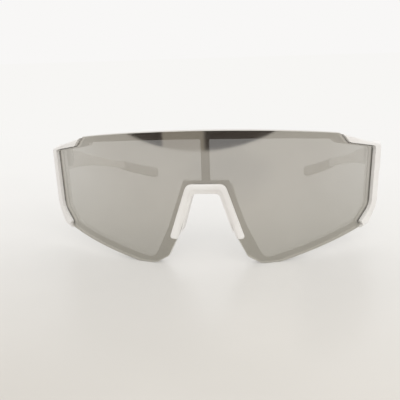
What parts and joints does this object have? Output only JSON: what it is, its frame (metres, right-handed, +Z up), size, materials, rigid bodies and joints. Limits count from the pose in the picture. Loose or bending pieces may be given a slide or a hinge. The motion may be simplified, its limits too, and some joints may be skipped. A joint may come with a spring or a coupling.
{
  "type": "sports glasses",
  "caption": "Wraparound shield sports glasses with a one-piece mirrored lens, a frame with wings behind it, a clip-on nose bridge and folding temples with rubber sleeves.",
  "frame": {"origin": "middle of the footprint, on the plane the glasses stand on", "axes": "+X to the wearer's left, +Y from the lens back along the temples, +Z up; the lens faces -Y"},
  "size_m": [0.15, 0.152, 0.0564],
  "materials": {
    "white_nylon": "white moulded nylon, satin gloss",
    "mirror_lens": "grey polycarbonate with a silver mirror coat",
    "soft_white": "soft white nose pads",
    "grey_rubber": "grey moulded rubber, matt",
    "steel": "stainless hinge parts"
  },
  "bodies": {
    "front": {"lens_shield": "mirror_lens", "frame_front": "white_nylon", "nose_bridge_clip": "white_nylon", "hinge_front_leaf_left": "steel", "hinge_front_leaf_right": "steel", "hinge_screw_left": "steel", "hinge_screw_right": "steel", "nose_pad_left": "soft_white", "nose_pad_right": "soft_white", "rivet_front_left_a": "steel", "rivet_front_left_b": "steel", "rivet_front_right_a": "steel", "rivet_front_right_b": "steel"},
    "temple_left": {"temple_arm_left": "white_nylon", "temple_sleeve_left": "grey_rubber", "hinge_temple_leaf_left": "steel", "rivet_temple_left_a": "steel", "rivet_temple_left_b": "steel"},
    "temple_right": {"temple_arm_right": "white_nylon", "temple_sleeve_right": "grey_rubber", "hinge_temple_leaf_right": "steel", "rivet_temple_right_a": "steel", "rivet_temple_right_b": "steel"}
  },
  "joints": [
    {"name": "temple_left_hinge", "type": "hinge", "parent": "front", "child": "temple_left", "pos_m": [0.06976, -0.03409, 0.03723], "axis": [0, 0, 1], "range_deg": [0, 92]},
    {"name": "temple_right_hinge", "type": "hinge", "parent": "front", "child": "temple_right", "pos_m": [-0.06976, -0.03409, 0.03723], "axis": [0, 0, -1], "range_deg": [0, 82]}
  ]
}
